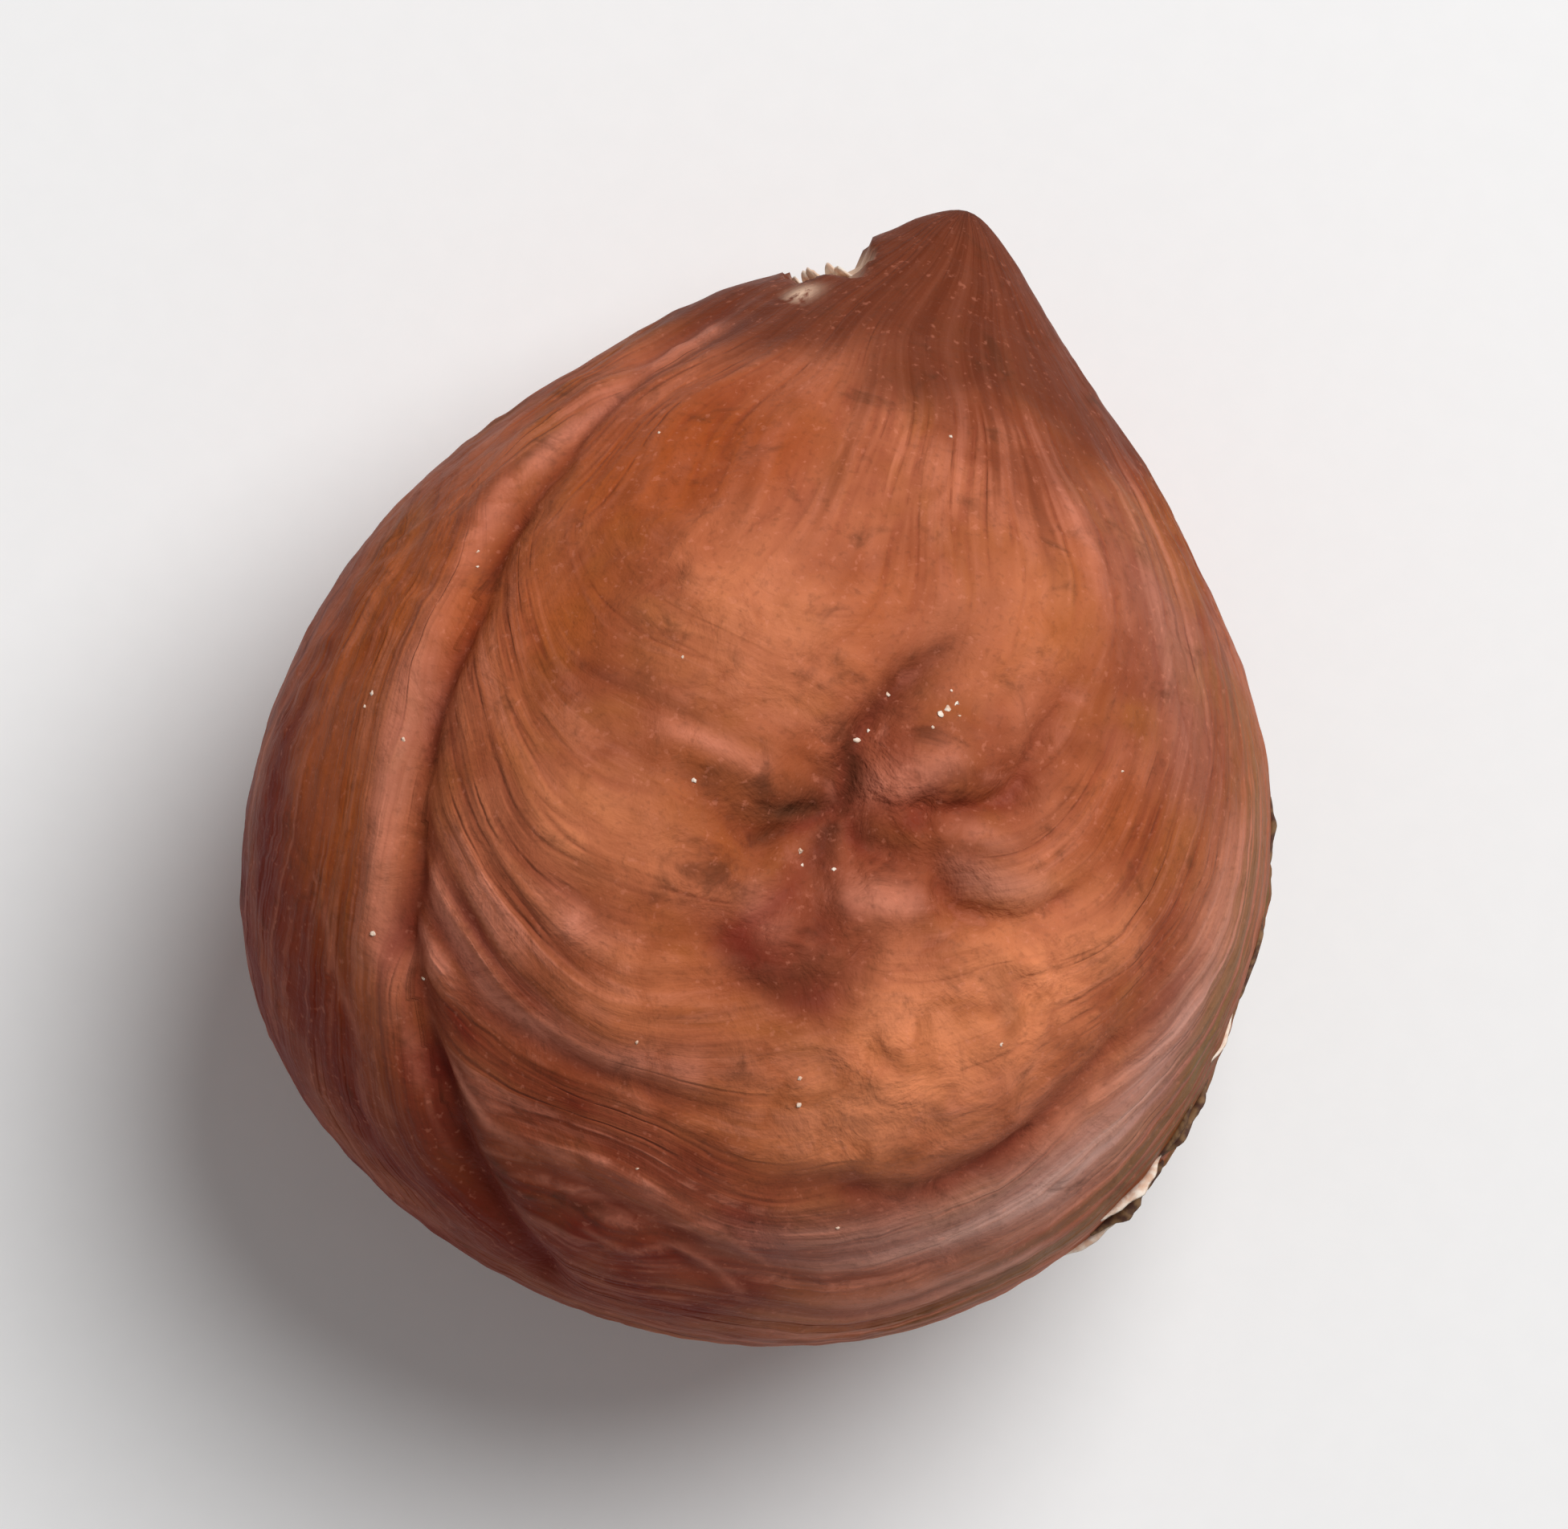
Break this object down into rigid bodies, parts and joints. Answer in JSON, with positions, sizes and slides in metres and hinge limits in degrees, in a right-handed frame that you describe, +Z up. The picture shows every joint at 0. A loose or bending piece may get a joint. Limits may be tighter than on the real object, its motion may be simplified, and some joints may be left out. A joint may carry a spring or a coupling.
{
  "type": "hazelnut",
  "caption": "Shelled hazelnut kernel in its brown skin, round with a blunt tip, a sunken middle and a long groove, lying on its side on a small flat spot.",
  "frame": {"origin": "under the middle of the kernel's box, on the surface that it rests on", "axes": "+Y along the kernel's length towards its tip, +Z up, +X to the right as seen from above with the tip pointing away"},
  "size_m": [0.0142, 0.0164, 0.0128],
  "materials": {
    "skin": "satin"
  },
  "bodies": {
    "root": {"kernel": "skin"}
  },
  "joints": []
}
